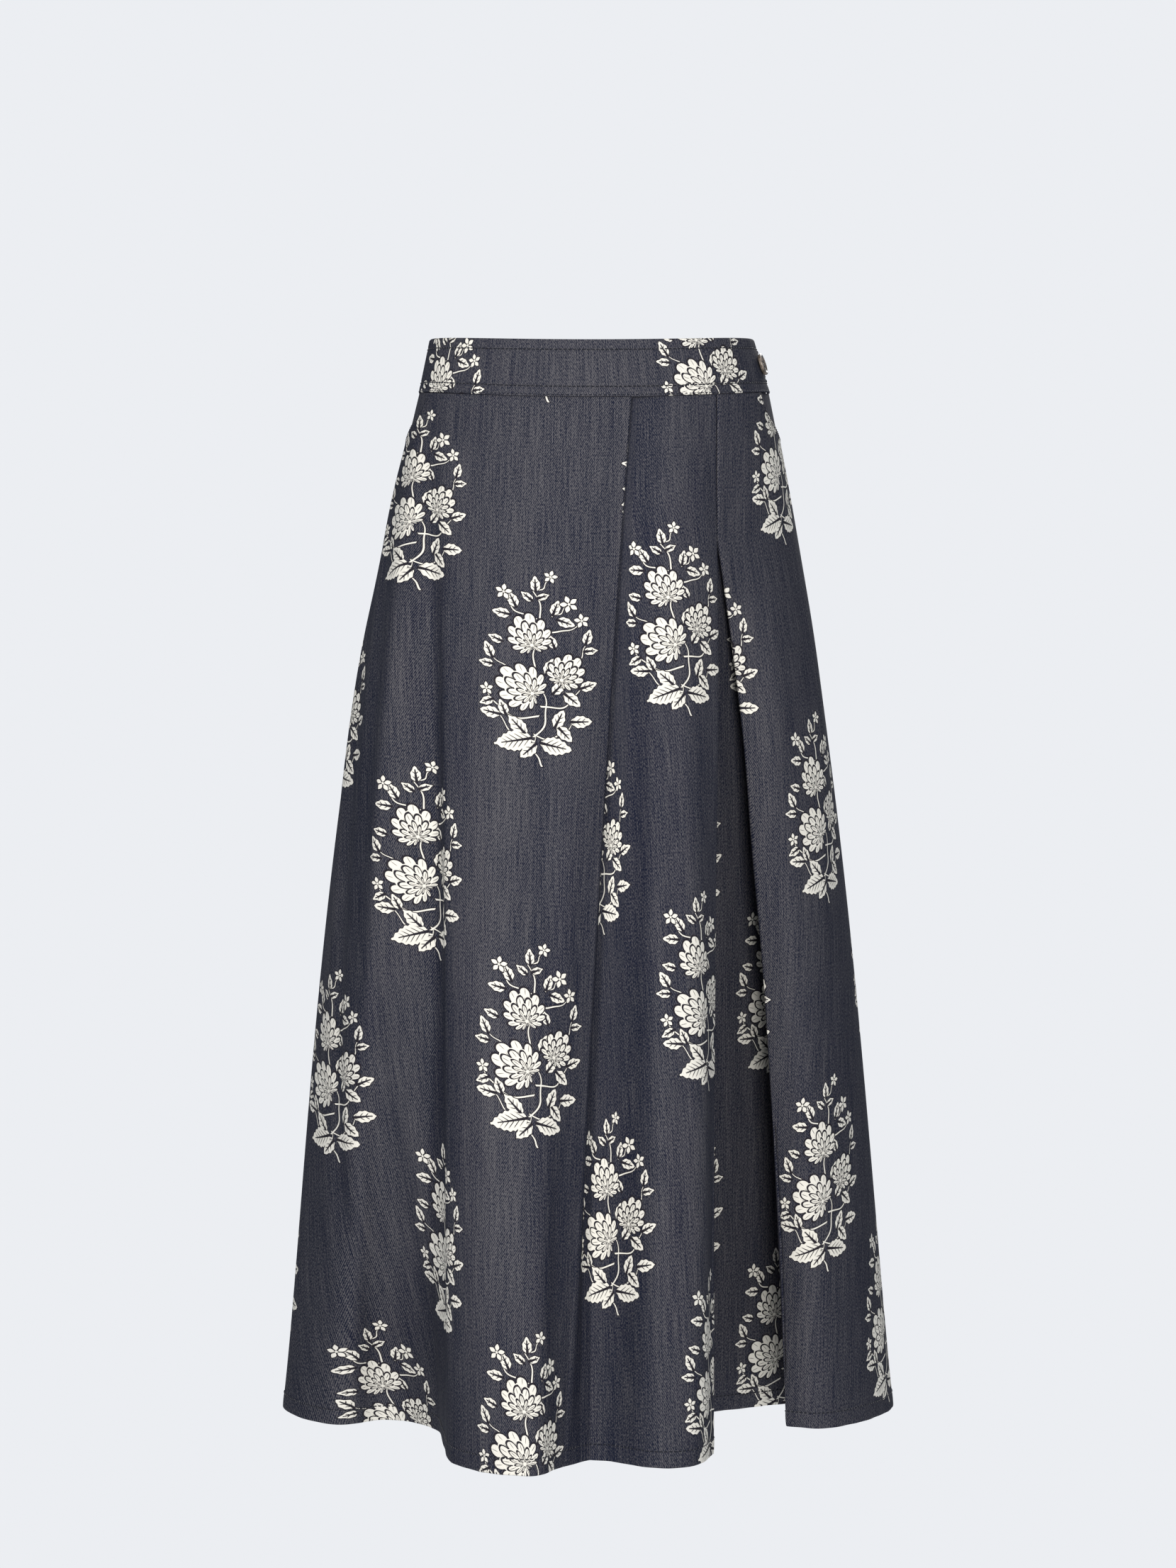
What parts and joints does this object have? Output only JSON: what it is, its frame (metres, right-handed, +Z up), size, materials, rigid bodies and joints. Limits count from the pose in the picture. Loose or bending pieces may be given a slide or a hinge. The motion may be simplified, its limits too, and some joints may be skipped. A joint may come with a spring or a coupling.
{
  "type": "pleated skirt",
  "caption": "Flared midi skirt in denim with a contoured waistband, an inverted pleat, a side tuck, scooped side pockets and a side button; stands open as worn.",
  "frame": {"origin": "centre of the waist opening, half-way up the waistband at its sides", "axes": "+Z up, -Y out of the skirt's front, +X towards the wearer's left"},
  "size_m": [0.4813, 0.4453, 0.834],
  "materials": {
    "denim": "dark indigo twill with a cream floral print",
    "horn": "smoky horn look, low gloss"
  },
  "bodies": {
    "root": {"front_panel": "denim", "back_panel": "denim", "waistband": "denim", "pocket_facing_right": "denim", "pocket_facing_left": "denim", "button": "horn"}
  },
  "joints": []
}
